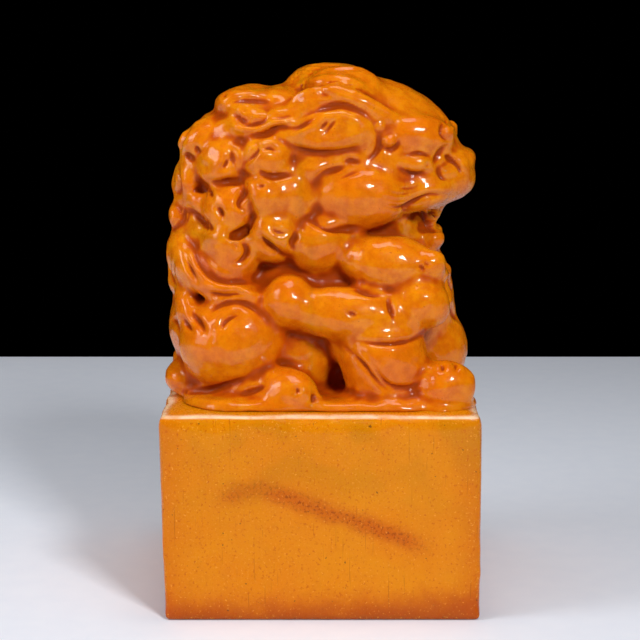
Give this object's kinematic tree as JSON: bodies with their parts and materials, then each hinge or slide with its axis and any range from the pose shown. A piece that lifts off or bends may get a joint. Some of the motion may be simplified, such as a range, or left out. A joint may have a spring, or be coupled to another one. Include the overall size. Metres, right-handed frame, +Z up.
{
  "type": "seal stamp",
  "caption": "Square carved stone seal whose handle is a crouching guardian lion with a curled mane; its flat underside is the seal face.",
  "frame": {"origin": "centre of the flat seal face, under the block", "axes": "+Z up from the seal face through the lion's crown, +X the way the lion looks, -Y toward the side that the picture shows"},
  "size_m": [0.0302, 0.03, 0.0512],
  "materials": {
    "block_stone": "hand-ground and waxed, amber with a faint red vein",
    "carved_stone": "carved and polished to a wet gloss, deeper orange in the creases"
  },
  "bodies": {
    "root": {"boulder": "carved_stone", "chest": "carved_stone", "crown_knot": "carved_stone", "far_back_curls": "carved_stone", "far_brow": "carved_stone", "far_cheek": "carved_stone", "far_ear": "carved_stone", "far_eye": "carved_stone", "far_fore_paw": "carved_stone", "far_foreleg": "carved_stone", "far_hair_locks": "carved_stone", "far_haunch": "carved_stone", "far_hind_foot": "carved_stone", "far_hind_paw": "carved_stone", "far_lower_flame": "carved_stone", "far_mane_lobes": "carved_stone", "far_nape_curl": "carved_stone", "far_neck_curl": "carved_stone", "far_nostril": "carved_stone", "far_shank": "carved_stone", "far_shoulder": "carved_stone", "far_shoulder_curl": "carved_stone", "far_temple_curl": "carved_stone", "far_upper_flame": "carved_stone", "lower_jaw": "carved_stone", "near_back_curls": "carved_stone", "near_brow": "carved_stone", "near_cheek": "carved_stone", "near_ear": "carved_stone", "near_eye": "carved_stone", "near_fore_paw": "carved_stone", "near_foreleg": "carved_stone", "near_hair_locks": "carved_stone", "near_haunch": "carved_stone", "near_hind_foot": "carved_stone", "near_hind_paw": "carved_stone", "near_lower_flame": "carved_stone", "near_mane_lobes": "carved_stone", "near_nape_curl": "carved_stone", "near_neck_curl": "carved_stone", "near_nostril": "carved_stone", "near_shank": "carved_stone", "near_shoulder": "carved_stone", "near_shoulder_curl": "carved_stone", "near_temple_curl": "carved_stone", "near_upper_flame": "carved_stone", "poll_curl": "carved_stone", "poll_fold": "carved_stone", "rock_ledge": "carved_stone", "ruff": "carved_stone", "rump": "carved_stone", "seal_block": "block_stone", "skull": "carved_stone", "snout": "carved_stone", "tail_plume": "carved_stone", "throat": "carved_stone", "torso": "carved_stone"}
  },
  "joints": []
}
